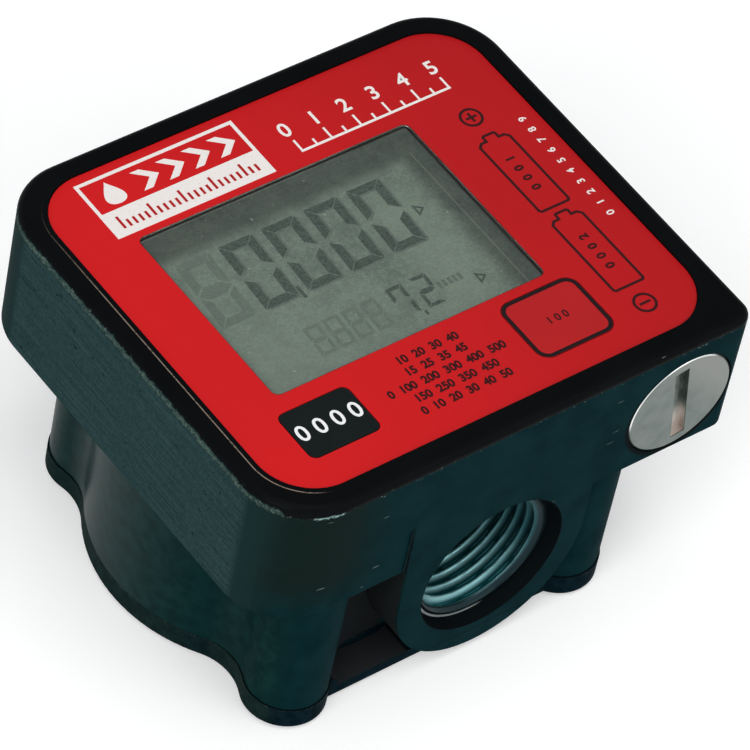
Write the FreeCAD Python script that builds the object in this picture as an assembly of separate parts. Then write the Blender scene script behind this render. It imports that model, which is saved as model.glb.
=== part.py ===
import FreeCAD, Part
import math
import os

# Oil flow meter with a square display housing over a chamber with two oval measuring gears.
# Millimetres. X runs to the right along the display, Y to the back, Z up.
# The origin is the centre of the footprint, at the underside of the chamber cover.

# Battery tube, front to back: its stack sets the depth of the housing
cap_head = 2.4
cap_contact_depth = 1.2
cell_length = 30.2
cell_radius = 6.0
cell_count = 2
cell_nub = 0.8
cell_nub_radius = 2.0
rear_contact_depth = 1.0
insulator_thickness = 0.8
rear_wall = 2.2
tube_boss_wall = 1.4
tube_boss_round = 2.5

# Display stack, from the underside up: it sets the height of the meter
cover_thickness = 4.0
chamber_height = 20.0
roof_thickness = 6.0
post_height = 8.0
board_thickness = 1.6
connector_height = 3.0
glass_thickness = 2.0
carrier_lip = 0.55
pane_flange = 0.5
label_gap = 0.05
label_thickness = 0.5
rim_proud = 0.3

# Housing
housing_width = 78.0
housing_height = 22.0
corner_front_left = 10.0
corner_front_right = 2.5
corner_back_right = 11.0
corner_back_left = 10.0
rim_round = 1.3
skirt_chamfer = 0.4
rim_width = 3.5
label_corner = 8.0
label_ledge = 1.1
gasket_width = 2.2
gasket_thickness = 0.8
carrier_pocket_skin = 0.55
band_height = 9.5
band_depth = 0.35
band_fade = 0.2
band_end_x = -16.3
fit_gap = 0.1

# Lower body: two lobes, four screw columns, two port bosses
lobe_wall = 7.97
lobe_inset = 2.0
lobe_centre_x = -3.2
lobe_setback = 31.0
ear_spacing_x = 46.4
ear_inset_back = 3.1
ear_offset_x = 24.5
ear_radius = 6.0
column_radius = 5.8
ear_blend = 8.0
cover_edge_chamfer = 0.7
cover_front_setback = 2.2
pocket_relief = 1.5
boss_radius = 15.7

# Ports: parallel pipe thread of half an inch, bored at the thread's major radius
port_x = 0.0
port_z = 17.0
port_thread_radius = 10.48
port_thread_length = 12.5
port_counterbore_radius = 11.7
port_counterbore_depth = 2.0
port_passage_radius = 7.0
passage_overlap = 0.9

# Oval gears
gear_pitch_radius = 13.0
tooth_pairs = 3
gear_swing = 1.4
pressure_angle = 20.0
addendum_share = 0.85
dedendum_share = 1.1
backlash = 0.12
samples_per_tooth = 12
gear_end_gap = 0.1
chamber_gap = 0.15
pin_radius = 2.5
pin_seat_depth = 2.5
bush_radius = 3.6
running_gap = 0.04
press_gap = 0.01
magnet_radius = 1.5
magnet_length = 2.5
magnet_circle = 8.5

# Seals and screws
seal_section = 0.85
seal_inset = 1.6
screw_radius = 2.0
screw_head_radius = 3.5
screw_head_height = 2.4
screw_length = 16.0
screw_counterbore_gap = 0.2
socket_radius = 1.5
socket_depth = 1.3
board_screw_radius = 1.25
board_screw_head = 2.2
board_screw_head_height = 1.4
board_screw_length = 6.0

# Display window and keys, placed from the edges of the front sheet
window_inset_left = 8.9
window_inset_right = 17.2
window_inset_front = 16.2
window_inset_back = 13.2
window_corner = 1.1
pane_margin = 0.8
glass_margin = 0.6
glass_margin_y = 2.2
glass_step = 1.0
reset_inset_left = 12.5
cal_inset_right = 20.8
key_inset_front = 9.25
reset_size = (11.2, 8.3)
cal_size = (12.7, 10.7)
reset_corner = 1.1
cal_corner = 2.0
key_gap = 0.12
key_flange = 0.8
key_flange_thickness = 0.45
key_travel = 0.6
plunger_radius = 2.0

# Electronics pocket
pocket_wall = 5.0
pocket_corner = 4.0
pocket_front_wall = 4.5
post_radius = 2.8
post_inset = 3.0
board_gap = 0.6
connector_width = 2.0
connector_inset = 2.0
sensor_size = (6.0, 4.4, 3.0)
sensor_well_depth = 3.5
well_gap = 0.4
lead_half = 0.3
lead_pitch = 2.0
chip_size = 10.0
chip_height = 1.5
switch_size = 4.4
switch_base = 1.0

# Battery cap
cap_radius = 8.6
cap_side_margin = 10.4
cap_drop = 12.5
cap_seat_gap = 0.12
cap_thread_radius = 7.3
cap_skirt_length = 6.0
cap_skirt_wall = 0.75
cap_edge_chamfer = 0.3
thread_gap = 0.1
tube_gap = 0.5
slot_width = 2.3
slot_length = 14.0
slot_depth = 1.1
slot_tilt = 9.5
cap_seal_section = 0.52
contact_plate = 0.3
contact_strip_width = 2.0
crown_radius = 2.2
tab_inset = 0.6
tab_reach = 1.0

# Places that follow from the sizes above
chamber_floor_z = cover_thickness
chamber_roof_z = chamber_floor_z + chamber_height
pocket_floor_z = chamber_roof_z + roof_thickness
board_z = pocket_floor_z + post_height
board_top_z = board_z + board_thickness
glass_z = board_top_z + connector_height
glass_top_z = glass_z + glass_thickness
pane_z = glass_top_z + carrier_lip
label_z = pane_z + pane_flange + label_gap
label_top_z = label_z + label_thickness
top_z = label_top_z + rim_proud
housing_bottom_z = top_z - housing_height
carrier_z = label_z - key_flange_thickness - key_travel - 2 * label_gap - carrier_pocket_skin
gasket_z = carrier_z - gasket_thickness
housing_depth = (cap_head + cap_contact_depth + cell_count * cell_length
                 + rear_contact_depth + insulator_thickness + rear_wall)
front_y = -housing_depth / 2
back_y = housing_depth / 2
lobe_centre_y = front_y + lobe_setback
side_x = housing_width / 2
label_width = housing_width - 2 * rim_width
label_depth = housing_depth - 2 * rim_width
window_left = -label_width / 2 + window_inset_left
window_right = label_width / 2 - window_inset_right
window_front = -label_depth / 2 + window_inset_front
window_back = label_depth / 2 - window_inset_back
key_y = -label_depth / 2 + key_inset_front
reset_centre = (-label_width / 2 + reset_inset_left, key_y)
cal_centre = (label_width / 2 - cal_inset_right, key_y)
cap_x = side_x - cap_side_margin
cap_z = top_z - cap_drop
tube_radius = cell_radius + tube_gap
cell_front_y = front_y + cap_head + cap_contact_depth
cell_back_y = cell_front_y + cell_count * cell_length
contact_back_y = cell_back_y + rear_contact_depth
tube_end_y = contact_back_y + insulator_thickness
tube_boss_radius = tube_radius + tube_boss_wall
tube_boss_end_y = tube_end_y + tube_boss_wall
cell_z = cap_z - tube_gap + running_gap
seat_radius = cap_radius + cap_seat_gap
seat_depth = cap_head + 2 * cap_seal_section + running_gap
tooth_count = 4 * tooth_pairs + 2
module = 2 * gear_pitch_radius / tooth_count
gear_tip_radius = gear_pitch_radius + gear_swing + addendum_share * module
chamber_radius = gear_tip_radius + chamber_gap
lobe_radius = chamber_radius + lobe_wall
lobe_spread = gear_pitch_radius - lobe_inset
gear_left_x = lobe_centre_x - gear_pitch_radius
gear_right_x = lobe_centre_x + gear_pitch_radius
gear_axis_y = lobe_centre_y
gear_z = chamber_floor_z + gear_end_gap
gear_height = chamber_height - 2 * gear_end_gap
pin_z = chamber_floor_z - pin_seat_depth
pin_length = chamber_height + 2 * pin_seat_depth
seal_path_radius = chamber_radius + seal_inset
groove_depth = 2 * seal_section + running_gap
pocket_left_x = -side_x + pocket_wall
pocket_right_x = cap_x - cap_thread_radius - thread_gap - cap_skirt_wall - rim_round
pocket_front_y = front_y + pocket_front_wall
pocket_back_y = back_y - pocket_front_wall
board_left_x = pocket_left_x + board_gap
board_right_x = pocket_right_x - board_gap
board_front_y = pocket_front_y + board_gap
board_back_y = pocket_back_y - board_gap
cover_front_y = front_y + cover_front_setback
screw_head_z = screw_head_height + screw_counterbore_gap
switch_top_z = board_top_z + switch_base + 0.75
plunger_bottom_z = switch_top_z + key_travel + label_gap
ear_left_x = lobe_centre_x - ear_offset_x
ear_front_y = front_y + ear_radius
ear_back_y = lobe_centre_y + lobe_radius - ear_inset_back
lobe_centres = [(lobe_centre_x - lobe_spread, lobe_centre_y), (lobe_centre_x + lobe_spread, lobe_centre_y)]
ear_centres = [(x, y) for x in (ear_left_x, ear_left_x + ear_spacing_x)
               for y in (ear_front_y, ear_back_y)]
post_centres = [(board_left_x + post_inset, board_front_y + post_inset),
                (board_right_x - post_inset, board_back_y - post_inset)]
pad_centres = [(board_left_x + post_inset, board_back_y - post_inset),
               (board_right_x - post_inset, board_front_y + post_inset)]
gear_axes = {"left": gear_left_x, "right": gear_right_x}
sensor_y = gear_axis_y + magnet_circle
tab_x = board_right_x - tab_inset
tab_y = board_back_y - tab_reach


def box(x0, x1, y0, y1, z0, z1):
    return Part.makeBox(x1 - x0, y1 - y0, z1 - z0, FreeCAD.Vector(x0, y0, z0))


def disc(centre, radius, z0, z1):
    """Upright cylinder."""
    return Part.makeCylinder(radius, z1 - z0, FreeCAD.Vector(centre[0], centre[1], z0))


def barrel(x, z, radius, y0, y1):
    """Cylinder along Y."""
    return Part.makeCylinder(radius, y1 - y0, FreeCAD.Vector(x, y0, z), FreeCAD.Vector(0, 1, 0))


def joined(pieces):
    """One solid from overlapping ones."""
    first = pieces[0]
    return first.multiFuse(pieces[1:]).removeSplitter() if len(pieces) > 1 else first


def rounded_plate(x0, x1, y0, y1, z0, z1, corners):
    """Plate with its own radius at the front left, front right, back right and back left corner."""
    spots = [(x0, y0, 1, 1), (x1, y0, -1, 1), (x1, y1, -1, -1), (x0, y1, 1, -1)]
    turn = math.radians(180)
    edges = []
    ends = []
    for (x, y, ix, iy), radius in zip(spots, corners):
        centre = FreeCAD.Vector(x + ix * radius, y + iy * radius, z0)
        arc = [centre + FreeCAD.Vector(radius * math.cos(turn + a), radius * math.sin(turn + a), 0)
               for a in (0, math.pi / 4, math.pi / 2)]
        edges.append(Part.Arc(*arc).toShape())
        ends.append((arc[0], arc[2]))
        turn += math.pi / 2
    for k in range(4):
        edges.append(Part.LineSegment(ends[k][1], ends[(k + 1) % 4][0]).toShape())
    wire = Part.Wire(Part.__sortEdges__(edges))
    return Part.Face(wire).extrude(FreeCAD.Vector(0, 0, z1 - z0))


def even_plate(x0, x1, y0, y1, z0, z1, radius):
    return rounded_plate(x0, x1, y0, y1, z0, z1, [radius] * 4)


def centred_plate(width, depth, z0, z1, radius):
    return even_plate(-width / 2, width / 2, -depth / 2, depth / 2, z0, z1, radius)


def edges_at(shape, z):
    """Edges that lie in the level plane at z."""
    return [e for e in shape.Edges if all(abs(v.Z - z) < 1e-6 for v in e.Vertexes)
            and abs(e.BoundBox.ZLength) < 1e-6]


def blend_web(big, big_radius, small, small_radius, z0, z1):
    """The two hollow fillets that lead from a lobe into a screw column."""
    a = FreeCAD.Vector(big[0], big[1], z0)
    b = FreeCAD.Vector(small[0], small[1], z0)
    span = b - a
    length = span.Length
    along = FreeCAD.Vector(span).normalize()
    across = FreeCAD.Vector(-along.y, along.x, 0)
    ra = big_radius + ear_blend
    rb = small_radius + ear_blend
    reach = (length ** 2 + ra ** 2 - rb ** 2) / (2 * length)
    rise = math.sqrt(ra ** 2 - reach ** 2)
    edges = []
    for side in (1, -1):
        hub = a + along * reach + across * (side * rise)
        on_big = hub + (a - hub).normalize() * ear_blend
        on_small = hub + (b - hub).normalize() * ear_blend
        middle = hub + ((on_big + on_small) * 0.5 - hub).normalize() * ear_blend
        edges += [Part.LineSegment(a, on_big).toShape(),
                  Part.Arc(on_big, middle, on_small).toShape(),
                  Part.LineSegment(on_small, b).toShape()]
    wire = Part.Wire(Part.__sortEdges__(edges))
    return Part.Face(wire).extrude(FreeCAD.Vector(0, 0, z1 - z0))


def obround(radius, z0, z1):
    """Solid that reaches the same distance round both gear axes."""
    ends = [disc((x, gear_axis_y), radius, z0, z1) for x in gear_axes.values()]
    bar = box(gear_left_x, gear_right_x, gear_axis_y - radius, gear_axis_y + radius, z0, z1)
    return joined(ends + [bar])


def lower_outline(column, z0, z1):
    """Lobes, screw columns and the fillets between them."""
    pieces = [disc(c, lobe_radius, z0, z1) for c in lobe_centres]
    pieces.append(box(lobe_centres[0][0], lobe_centres[1][0], lobe_centre_y - lobe_radius,
                      lobe_centre_y + lobe_radius, z0, z1))
    for ear in ear_centres:
        lobe = lobe_centres[0] if ear[0] < lobe_centre_x else lobe_centres[1]
        pieces.append(disc(ear, column, z0, z1))
        pieces.append(blend_web(lobe, lobe_radius, ear, column, z0, z1))
    return joined(pieces)


def rack_limit(along):
    """How far a gear may reach past the pitch line of the rack that forms it."""
    pitch = math.pi * module
    offset = abs((along + pitch / 2) % pitch - pitch / 2)
    flank = (pitch / 4 - backlash / 2 - offset) / math.tan(math.radians(pressure_angle))
    return max(-dedendum_share * module, min(addendum_share * module, flank))


def clears_rack(radius, angle):
    """Whether a point of the gear stays clear of the rack while it rolls past.

    The rack moves in and out twice per turn, which makes the gear oval and keeps the speed even.
    """
    steps = 60
    for k in range(-steps, steps + 1):
        place = k * math.radians(55) / steps
        roll = place - angle
        shift = gear_swing * math.cos(2 * roll)
        past = radius * math.cos(place) - gear_pitch_radius - shift
        if past > rack_limit(radius * math.sin(place) - gear_pitch_radius * roll):
            return False
    return True


def gear_radius(angle):
    low = gear_pitch_radius - gear_swing - 1.6 * module
    high = gear_tip_radius
    for _ in range(14):
        middle = (low + high) / 2
        if clears_rack(middle, angle):
            low = middle
        else:
            high = middle
    return low


def gear_outline():
    """Quarter of the outline by rolling, the rest by its two mirror lines."""
    count = tooth_count * samples_per_tooth
    quarter = count // 4
    step = 2 * math.pi / count
    radii = [gear_radius(k * step) for k in range(quarter + 1)]
    half = radii + radii[-2::-1] if count % 4 == 0 else radii + radii[::-1]
    return [(half + half[-2:0:-1])[k] for k in range(count)], step


def gear_wire(radii, step, centre_x, turned):
    points = [FreeCAD.Vector(centre_x + r * math.cos(k * step + turned),
                             gear_axis_y + r * math.sin(k * step + turned), gear_z)
              for k, r in enumerate(radii)]
    return Part.makePolygon(points + points[:1])


def magnet_spots(side):
    """Magnets sit on the gear's long axis, which lies along X on the left and along Y on the right."""
    x = gear_axes[side]
    if side == "left":
        return [(x - magnet_circle, gear_axis_y), (x + magnet_circle, gear_axis_y)]
    return [(x, gear_axis_y - magnet_circle), (x, gear_axis_y + magnet_circle)]


def make_gear(side, radii, step):
    turned = 0.0 if side == "left" else math.pi / 2
    centre = (gear_axes[side], gear_axis_y)
    blank = Part.Face(gear_wire(radii, step, centre[0], turned)).extrude(FreeCAD.Vector(0, 0, gear_height))
    top = gear_z + gear_height
    cuts = [disc(centre, bush_radius + press_gap, gear_z - 1, top + 1)]
    cuts += [disc(m, magnet_radius + press_gap, top - magnet_length - press_gap, top + 1)
             for m in magnet_spots(side)]
    return blank.cut(cuts)


def make_magnets(side):
    top = gear_z + gear_height
    return [disc(m, magnet_radius, top - magnet_length, top - press_gap) for m in magnet_spots(side)]


def make_bush(side):
    centre = (gear_axes[side], gear_axis_y)
    sleeve = disc(centre, bush_radius, gear_z, gear_z + gear_height)
    return sleeve.cut(disc(centre, pin_radius + running_gap, gear_z - 1, gear_z + gear_height + 1))


def make_pin(side):
    return disc((gear_axes[side], gear_axis_y), pin_radius, pin_z, pin_z + pin_length)


def port_cut(mouth_y, inward):
    """Counterbore, thread bore and passage to the gear chamber, from a face at mouth_y."""
    counterbore_y = mouth_y + inward * port_counterbore_depth
    thread_end_y = counterbore_y + inward * port_thread_length
    waist = math.sqrt(chamber_radius ** 2 - gear_pitch_radius ** 2)
    chamber_y = gear_axis_y - inward * waist * passage_overlap
    steps = [(port_counterbore_radius, mouth_y - inward, counterbore_y),
             (port_thread_radius, mouth_y, thread_end_y),
             (port_passage_radius, mouth_y, chamber_y)]
    return [barrel(port_x, port_z, radius, min(ends), max(ends)) for radius, *ends in steps]


def port_boss(face_y, inner_y):
    """Boss with a round underside, level with the housing face."""
    y0, y1 = min(face_y, inner_y), max(face_y, inner_y)
    root = barrel(port_x, port_z, boss_radius, y0, y1)
    neck = box(port_x - boss_radius, port_x + boss_radius, y0, y1, port_z, housing_bottom_z + 1)
    return [root, neck]


def housing_block():
    corners = [corner_front_left, corner_front_right, corner_back_right, corner_back_left]
    block = rounded_plate(-side_x, side_x, front_y, back_y, housing_bottom_z, top_z, corners)
    block = block.makeFillet(rim_round, edges_at(block, top_z))
    band_top = housing_bottom_z + band_height
    outer = box(-side_x - 1, band_end_x, front_y - 1, back_y, housing_bottom_z - 1, band_top)
    inner = rounded_plate(-side_x - band_fade, side_x + 1, front_y + band_depth, back_y + 1,
                          housing_bottom_z - 2, band_top + 1, corners)
    block = block.cut(outer.cut(inner))
    return block.makeChamfer(skirt_chamfer, edges_at(block, housing_bottom_z))


def electronics_cuts():
    """Stepped pocket: sheet, carrier and gasket, then the deep well for the board."""
    carrier_width = label_width - 2 * label_ledge
    carrier_depth = label_depth - 2 * label_ledge
    cuts = [centred_plate(label_width + 2 * fit_gap, label_depth + 2 * fit_gap, label_z, top_z + 1,
                          label_corner + fit_gap),
            centred_plate(carrier_width + 2 * fit_gap, carrier_depth + 2 * fit_gap, gasket_z, top_z,
                          label_corner - label_ledge + fit_gap),
            even_plate(pocket_left_x, pocket_right_x, pocket_front_y, pocket_back_y, pocket_floor_z,
                       gasket_z + 1, pocket_corner)]
    for x in gear_axes.values():
        cuts.append(box(x - sensor_size[0] / 2 - well_gap, x + sensor_size[0] / 2 + well_gap,
                        sensor_y - sensor_size[1] / 2 - well_gap, sensor_y + sensor_size[1] / 2 + well_gap,
                        pocket_floor_z - sensor_well_depth, pocket_floor_z + 1))
    return cuts


def tube_cuts():
    """Cap seat, cap thread, tube for the cells and the slot for the rear contact strip."""
    skirt_end_y = front_y + cap_head + cap_skirt_length + fit_gap
    strip = contact_strip_width / 2 + well_gap
    return [barrel(cap_x, cap_z, seat_radius, front_y - 1, front_y + seat_depth),
            barrel(cap_x, cap_z, cap_thread_radius + thread_gap, front_y - 1, skirt_end_y),
            barrel(cap_x, cap_z, tube_radius, front_y - 1, tube_end_y),
            box(tab_x - well_gap, cap_x, cell_back_y, contact_back_y, cap_z - strip, cap_z + strip),
            box(tab_x - well_gap, tab_x + contact_plate + well_gap, tab_y - well_gap, contact_back_y,
                cap_z - strip, gasket_z)]


def tube_boss():
    """Round swelling of the casting that closes the battery tube where it runs into the back corner."""
    boss = barrel(cap_x, cap_z, tube_boss_radius, tube_boss_end_y - corner_back_right, tube_boss_end_y)
    end = [e for e in boss.Edges if abs(e.BoundBox.YMin - tube_boss_end_y) < 1e-6]
    return boss.makeFillet(min(tube_boss_round, tube_boss_radius / 2), end)


def make_body():
    lower_top = housing_bottom_z + 1
    pieces = [housing_block(), tube_boss(), lower_outline(column_radius, cover_thickness, lower_top)]
    bosses = port_boss(front_y, lobe_centre_y) + port_boss(back_y, lobe_centre_y)
    room = box(-side_x, side_x, cover_front_y - fit_gap, lobe_centre_y + lobe_radius + fit_gap, -1,
               cover_thickness)
    pieces += [b.cut(room) for b in bosses]
    body = joined(pieces)
    body = body.cut(electronics_cuts())
    posts = [disc(p, post_radius, pocket_floor_z - 1, board_z) for p in post_centres]
    pads = [box(x - post_radius, x + post_radius, y - post_radius, y + post_radius,
                pocket_floor_z - 1, board_z) for x, y in pad_centres]
    body = joined([body] + posts + pads)
    cuts = [disc((x, gear_axis_y), chamber_radius, chamber_floor_z - 1, chamber_roof_z)
            for x in gear_axes.values()]
    cuts += [disc((x, gear_axis_y), pin_radius + press_gap, chamber_roof_z - 1, pin_z + pin_length)
             for x in gear_axes.values()]
    cuts += [disc(e, screw_radius + press_gap, cover_thickness - 1, screw_head_z + screw_length + 1)
             for e in ear_centres]
    cuts += [disc(p, board_screw_radius + press_gap, board_z - board_screw_length, board_z + 1)
             for p in post_centres]
    cuts += port_cut(front_y, 1) + port_cut(back_y, -1) + tube_cuts()
    groove = obround(seal_path_radius + seal_section + fit_gap, chamber_floor_z - 1,
                     chamber_floor_z + groove_depth)
    core = obround(seal_path_radius - seal_section - fit_gap, chamber_floor_z - 2,
                   chamber_floor_z + groove_depth + 1)
    cuts.append(groove.cut(core))
    for c in cuts:
        body = body.cut(c)
    return body


def make_cover():
    plate = lower_outline(ear_radius, 0, cover_thickness)
    left, right = ear_centres[0][0], ear_centres[2][0]
    strip = box(left, right, cover_front_y, lobe_centre_y, 0, cover_thickness)
    plate = joined([plate, strip])
    plate = plate.makeChamfer(cover_edge_chamfer, edges_at(plate, 0))
    relief_left = ear_centres[0][0] + ear_radius
    relief_right = port_x - math.sqrt(boss_radius ** 2 - (port_z - cover_thickness) ** 2)
    relief = box(relief_left, relief_right, cover_front_y - 1, lobe_centre_y,
                 cover_thickness - pocket_relief, cover_thickness + 1)
    relief = relief.cut(disc(lobe_centres[0], lobe_radius + fit_gap, 0, cover_thickness + 1))
    cuts = [relief]
    cuts += [disc(e, screw_head_radius + well_gap / 2, -1, screw_head_z) for e in ear_centres]
    cuts += [disc(e, screw_radius + fit_gap, 0, cover_thickness + 1) for e in ear_centres]
    cuts += [disc((x, gear_axis_y), pin_radius + press_gap, pin_z, cover_thickness + 1)
             for x in gear_axes.values()]
    return plate.cut(cuts)


def make_cover_screws():
    screws = []
    for e in ear_centres:
        head = disc(e, screw_head_radius, screw_counterbore_gap, screw_head_z)
        shank = disc(e, screw_radius, screw_head_z - 0.5, screw_head_z + screw_length)
        corners = [FreeCAD.Vector(e[0] + socket_radius * math.cos(a), e[1] + socket_radius * math.sin(a), 0)
                   for a in [math.radians(60 * k) for k in range(6)]]
        socket = Part.Face(Part.makePolygon(corners + corners[:1]))
        socket = socket.extrude(FreeCAD.Vector(0, 0, screw_counterbore_gap + socket_depth))
        screws.append(joined([head, shank]).cut(socket))
    return screws


def make_chamber_seal():
    """Square cord laid round both gear axes."""
    top = chamber_floor_z + 2 * seal_section
    outer = obround(seal_path_radius + seal_section, chamber_floor_z, top)
    return outer.cut(obround(seal_path_radius - seal_section, chamber_floor_z - 1, top + 1))


def window_plate(margin, z0, z1, corner):
    return even_plate(window_left - margin, window_right + margin, window_front - margin,
                      window_back + margin, z0, z1, corner)


def window_block(margin_x, margin_y, z0, z1):
    return box(window_left - margin_x, window_right + margin_x, window_front - margin_y,
               window_back + margin_y, z0, z1)


def key_plate(centre, size, margin, z0, z1, corner):
    half_x = size[0] / 2 + margin
    half_y = size[1] / 2 + margin
    return even_plate(centre[0] - half_x, centre[0] + half_x, centre[1] - half_y, centre[1] + half_y,
                      z0, z1, corner)


keys = {"reset_key": (reset_centre, reset_size, reset_corner), "cal_key": (cal_centre, cal_size, cal_corner)}


def make_label():
    sheet = centred_plate(label_width, label_depth, label_z, label_top_z, label_corner)
    cuts = [window_plate(0, label_z - 1, top_z, window_corner)]
    cuts += [key_plate(centre, size, key_gap, label_z - 1, top_z, corner + key_gap)
             for centre, size, corner in keys.values()]
    return sheet.cut(cuts)


def make_window():
    flange = window_plate(pane_margin, pane_z, pane_z + pane_flange, window_corner + pane_margin)
    pane = window_plate(-label_gap, pane_z, label_top_z, window_corner - label_gap)
    return joined([flange, pane])


def make_carrier():
    width = label_width - 2 * label_ledge
    depth = label_depth - 2 * label_ledge
    plate = centred_plate(width, depth, carrier_z, label_z, label_corner - label_ledge)
    cuts = [window_block(pane_margin + fit_gap, pane_margin + fit_gap, pane_z, label_z + 1),
            window_block(0, 0, carrier_z - 1, label_z),
            window_block(glass_margin + fit_gap, glass_margin_y + fit_gap, carrier_z - 1, glass_top_z)]
    for centre, size, corner in keys.values():
        grown = key_flange + fit_gap
        cuts.append(key_plate(centre, size, grown, carrier_z + carrier_pocket_skin, label_z + 1,
                              corner + grown))
        cuts.append(disc(centre, plunger_radius + 3 * fit_gap, carrier_z - 1, label_z))
    return plate.cut(cuts)


def make_gasket():
    width = label_width - 2 * label_ledge - fit_gap
    depth = label_depth - 2 * label_ledge - fit_gap
    corner = label_corner - label_ledge
    outer = centred_plate(width, depth, gasket_z, carrier_z, corner)
    hole = centred_plate(width - 2 * gasket_width, depth - 2 * gasket_width, gasket_z - 1, carrier_z + 1,
                         corner - gasket_width)
    return outer.cut(hole)


def make_key(centre, size, corner):
    flange_top = label_z - label_gap
    face = key_plate(centre, size, 0, flange_top - key_flange_thickness, label_top_z, corner)
    flange = key_plate(centre, size, key_flange, flange_top - key_flange_thickness, flange_top,
                       corner + key_flange)
    plunger = disc(centre, plunger_radius, plunger_bottom_z, flange_top)
    return joined([face, flange, plunger])


def make_glass():
    middle_z = glass_z + glass_thickness / 2
    back = window_block(glass_margin, glass_margin_y, glass_z, middle_z)
    front = window_block(glass_margin, glass_margin_y - glass_step, middle_z, glass_top_z)
    return joined([back, front])


def make_connectors():
    strips = []
    half = connector_width / 2
    for y in (window_front - glass_margin_y + half, window_back + glass_margin_y - half):
        strips.append(box(window_left + connector_inset, window_right - connector_inset, y - half, y + half,
                          board_top_z, glass_z))
    return strips


def make_board():
    board = even_plate(board_left_x, board_right_x, board_front_y, board_back_y, board_z, board_top_z,
                       pocket_corner - board_gap)
    return board.cut([disc(p, board_screw_radius + fit_gap, board_z - 1, board_top_z + 1)
                      for p in post_centres])


def make_board_screws():
    screws = []
    for p in post_centres:
        head = disc(p, board_screw_head, board_top_z, board_top_z + board_screw_head_height)
        shank = disc(p, board_screw_radius, board_top_z - board_screw_length, board_top_z)
        screws.append(joined([head, shank]))
    return screws


def make_chip():
    middle_x = (board_left_x + board_right_x) / 2
    half = chip_size / 2
    body = box(middle_x - half, middle_x + half, -half, half, board_top_z + 0.1, board_top_z + chip_height)
    legs = box(middle_x - half - 1, middle_x + half + 1, -half + 1, half - 1, board_top_z, board_top_z + 0.3)
    cross = box(middle_x - half + 1, middle_x + half - 1, -half - 1, half + 1, board_top_z, board_top_z + 0.3)
    return joined([body, legs, cross])


def make_switches():
    switches = []
    for centre in (reset_centre, cal_centre):
        half = switch_size / 2
        base = box(centre[0] - half, centre[0] + half, centre[1] - half, centre[1] + half, board_top_z,
                   board_top_z + switch_base)
        stem = disc(centre, plunger_radius * 0.85, board_top_z, switch_top_z)
        switches.append(joined([base, stem]))
    return switches


def make_sensors():
    sensors = []
    for x in gear_axes.values():
        bottom = pocket_floor_z - sensor_well_depth
        can = box(x - sensor_size[0] / 2, x + sensor_size[0] / 2, sensor_y - sensor_size[1] / 2,
                  sensor_y + sensor_size[1] / 2, bottom, bottom + sensor_size[2])
        leads = [box(x + dx - lead_half, x + dx + lead_half, sensor_y - lead_half, sensor_y + lead_half,
                     bottom + 1, board_z) for dx in (-lead_pitch, 0.0, lead_pitch)]
        sensors.append(joined([can] + leads))
    return sensors


def make_cap():
    head = barrel(cap_x, cap_z, cap_radius, front_y, front_y + cap_head)
    rim = [e for e in head.Edges if abs(e.BoundBox.YMax - front_y) < 1e-6]
    head = head.makeChamfer(cap_edge_chamfer, rim)
    skirt = barrel(cap_x, cap_z, cap_thread_radius, front_y + cap_head, front_y + cap_head + cap_skirt_length)
    cap = joined([head, skirt])
    inside = cap_thread_radius - cap_skirt_wall
    cap = cap.cut(barrel(cap_x, cap_z, inside, front_y + cap_head, front_y + cap_head + cap_skirt_length + 1))
    slot = box(cap_x - slot_width / 2, cap_x + slot_width / 2, front_y - 1, front_y + slot_depth,
               cap_z - slot_length / 2, cap_z + slot_length / 2)
    slot.rotate(FreeCAD.Vector(cap_x, front_y, cap_z), FreeCAD.Vector(0, 1, 0), -slot_tilt)
    return cap.cut(slot)


def make_cap_seal():
    y0 = front_y + cap_head + running_gap / 2
    y1 = y0 + 2 * cap_seal_section
    inner = cap_thread_radius + running_gap
    ring = barrel(cap_x, cap_z, inner + 2 * cap_seal_section, y0, y1)
    return ring.cut(barrel(cap_x, cap_z, inner, y0 - 1, y1 + 1))


def make_cap_contact():
    plate_y = front_y + cap_head + press_gap
    radius = cap_thread_radius - cap_skirt_wall - fit_gap
    plate = barrel(cap_x, cap_z, radius, plate_y, plate_y + contact_plate)
    crown = barrel(cap_x, cap_z, crown_radius, plate_y, cell_front_y - running_gap)
    return joined([plate, crown])


def make_cell(number):
    start = cell_front_y + number * cell_length
    can = barrel(cap_x, cell_z, cell_radius, start, start + cell_length - cell_nub)
    return joined([can, barrel(cap_x, cell_z, cell_nub_radius, start + cell_length / 2, start + cell_length)])


def make_rear_contact():
    plate_y = contact_back_y - contact_plate
    plate = barrel(cap_x, cap_z, cell_radius - 1, plate_y, contact_back_y - press_gap)
    crown = barrel(cap_x, cap_z, crown_radius, cell_back_y + running_gap, contact_back_y - press_gap)
    half = contact_strip_width / 2
    arm = box(tab_x, cap_x, plate_y, contact_back_y - press_gap, cap_z - half, cap_z + half)
    tab = box(tab_x, tab_x + contact_plate, tab_y, contact_back_y - press_gap, cap_z - half, board_z)
    return joined([plate, crown, arm, tab])


def make_insulator():
    return barrel(cap_x, cap_z, tube_radius - fit_gap, contact_back_y, tube_end_y - press_gap)


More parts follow.
